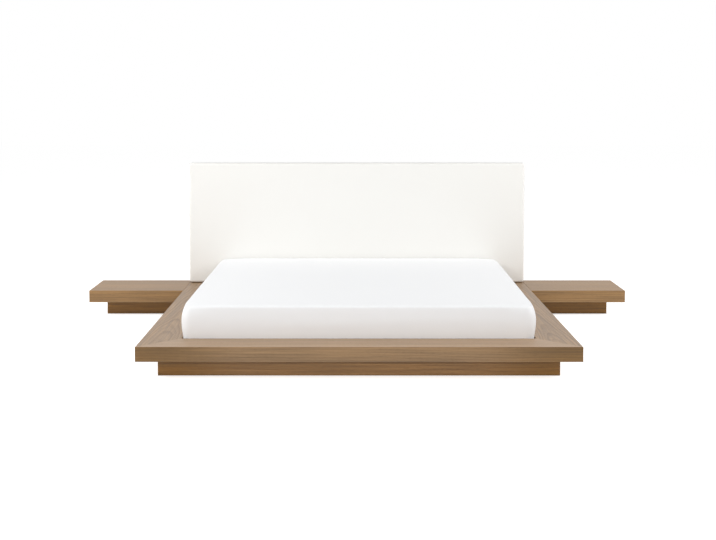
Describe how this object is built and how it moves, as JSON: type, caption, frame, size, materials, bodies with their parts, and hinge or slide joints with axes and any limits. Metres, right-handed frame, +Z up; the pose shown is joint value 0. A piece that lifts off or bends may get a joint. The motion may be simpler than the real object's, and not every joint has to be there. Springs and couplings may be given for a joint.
{
  "type": "platform bed",
  "caption": "Low platform bed: a wide wooden deck round a recessed mattress, a flat padded headboard and a low table on each side at deck height.",
  "frame": {"origin": "on the floor, under the middle of the whole set's outer box", "axes": "+X to the right seen from the foot, along the set's longest extent; +Y from the foot to the headboard; +Z up"},
  "size_m": [3.403, 2.369, 0.9559],
  "materials": {
    "rail_veneer": "satin light brown veneer, fine straight grain",
    "plinth_veneer": "satin light brown veneer",
    "inner_board": "plain board, unfinished",
    "raw_timber": "planed softwood, unfinished",
    "slat_wood": "planed softwood, unfinished",
    "post_wood": "satin veneer",
    "zinc_steel": "zinc plated",
    "pad_plastic": "matt black",
    "strap_webbing": "woven tape",
    "headboard_leather": "smooth ivory, fine grain, low sheen",
    "headboard_padding": "open cell foam",
    "back_lining": "plain lining cloth",
    "mattress_ticking": "white ticking",
    "sheet_cotton": "smooth white cotton, stretched"
  },
  "bodies": {
    "bed_frame": {"side_rail_left": "rail_veneer", "side_rail_right": "rail_veneer", "foot_rail": "rail_veneer", "head_rail": "rail_veneer", "plinth_left": "plinth_veneer", "plinth_right": "plinth_veneer", "plinth_foot": "plinth_veneer", "plinth_head": "plinth_veneer", "base_board_left": "inner_board", "base_board_right": "inner_board", "base_board_foot": "inner_board", "base_board_head": "inner_board", "headboard_panel": "inner_board", "mitre_blocks": "raw_timber", "head_rail_tenons": "raw_timber", "plinth_corner_blocks": "raw_timber", "center_beam": "raw_timber", "center_legs": "raw_timber", "headboard_top_member": "raw_timber", "headboard_bottom_member": "raw_timber", "headboard_stile_1": "raw_timber", "headboard_stile_2": "raw_timber", "headboard_stile_3": "raw_timber", "headboard_stile_4": "raw_timber", "slat_01": "slat_wood", "slat_02": "slat_wood", "slat_03": "slat_wood", "slat_04": "slat_wood", "slat_05": "slat_wood", "slat_06": "slat_wood", "slat_07": "slat_wood", "slat_08": "slat_wood", "slat_09": "slat_wood", "slat_10": "slat_wood", "slat_11": "slat_wood", "slat_12": "slat_wood", "headboard_post_left": "post_wood", "headboard_post_right": "post_wood", "deck_brackets": "zinc_steel", "beam_hangers": "zinc_steel", "headboard_bolts": "zinc_steel", "leg_pads": "pad_plastic", "slat_straps": "strap_webbing", "headboard_cover": "headboard_leather", "headboard_foam": "headboard_padding", "headboard_back_cloth": "back_lining"},
    "mattress": {"mattress": "mattress_ticking", "fitted_sheet": "sheet_cotton"},
    "nightstand_left": {"nightstand_left_top": "rail_veneer", "nightstand_left_plinth_front": "plinth_veneer", "nightstand_left_plinth_back": "plinth_veneer", "nightstand_left_plinth_outer": "plinth_veneer", "nightstand_left_plinth_inner": "plinth_veneer", "nightstand_left_base_board": "inner_board"},
    "nightstand_right": {"nightstand_right_top": "rail_veneer", "nightstand_right_plinth_front": "plinth_veneer", "nightstand_right_plinth_back": "plinth_veneer", "nightstand_right_plinth_outer": "plinth_veneer", "nightstand_right_plinth_inner": "plinth_veneer", "nightstand_right_base_board": "inner_board"}
  },
  "joints": [
    {"name": "mattress_lift", "type": "slide", "parent": "bed_frame", "child": "mattress", "axis": [0, 0, 1], "range_m": [0, 0.3]},
    {"name": "nightstand_left_pull", "type": "slide", "parent": "bed_frame", "child": "nightstand_left", "axis": [-1, 0, 0], "range_m": [0, 0.3]},
    {"name": "nightstand_right_pull", "type": "slide", "parent": "bed_frame", "child": "nightstand_right", "axis": [1, 0, 0], "range_m": [0, 0.3]}
  ]
}
